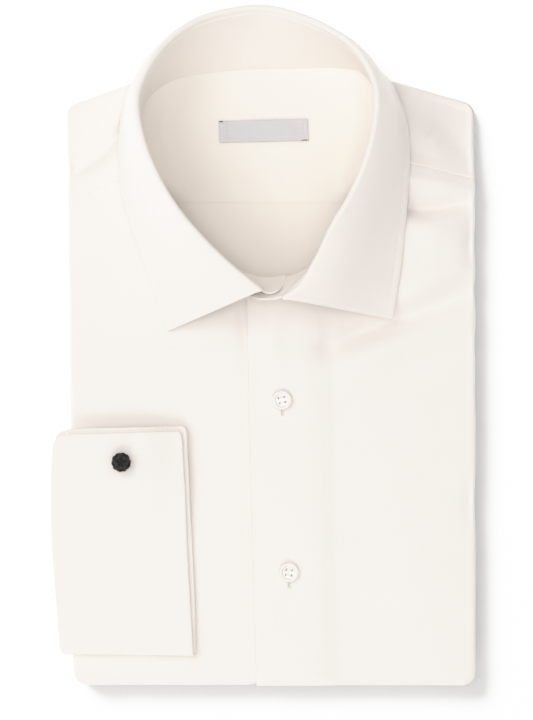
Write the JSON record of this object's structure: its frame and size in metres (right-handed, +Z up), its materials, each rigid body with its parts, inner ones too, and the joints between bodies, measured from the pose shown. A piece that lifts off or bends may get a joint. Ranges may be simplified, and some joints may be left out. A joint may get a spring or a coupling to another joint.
{
  "type": "long sleeve dress shirt",
  "caption": "Dress shirt buttoned and folded flat, collar standing open as a ring, with a double cuff and silk knot link laid on its front.",
  "frame": {"origin": "centre of the folded shirt's footprint, on the surface it lies on", "axes": "+Y toward the collar, +Z up off the surface, +X toward the wearer's left side"},
  "size_m": [0.2426, 0.3892, 0.0638],
  "materials": {
    "poplin": "fine ivory cotton poplin",
    "lining": "the same poplin, inside and hidden layers",
    "satin": "pale grey satin label",
    "silk": "black silk cord",
    "shell": "pearly ivory button"
  },
  "bodies": {
    "root": {"folded_layers": "lining", "front_right": "poplin", "front_left": "poplin", "yoke_right": "poplin", "yoke_left": "poplin", "yoke_inner": "lining", "back": "lining", "collar_stand": "poplin", "collar_leaf": "poplin", "sleeve_right": "poplin", "french_cuff": "poplin", "cufflink": "silk", "neck_label": "satin", "button_upper": "shell", "button_lower": "shell", "button_collar": "shell"}
  },
  "joints": []
}
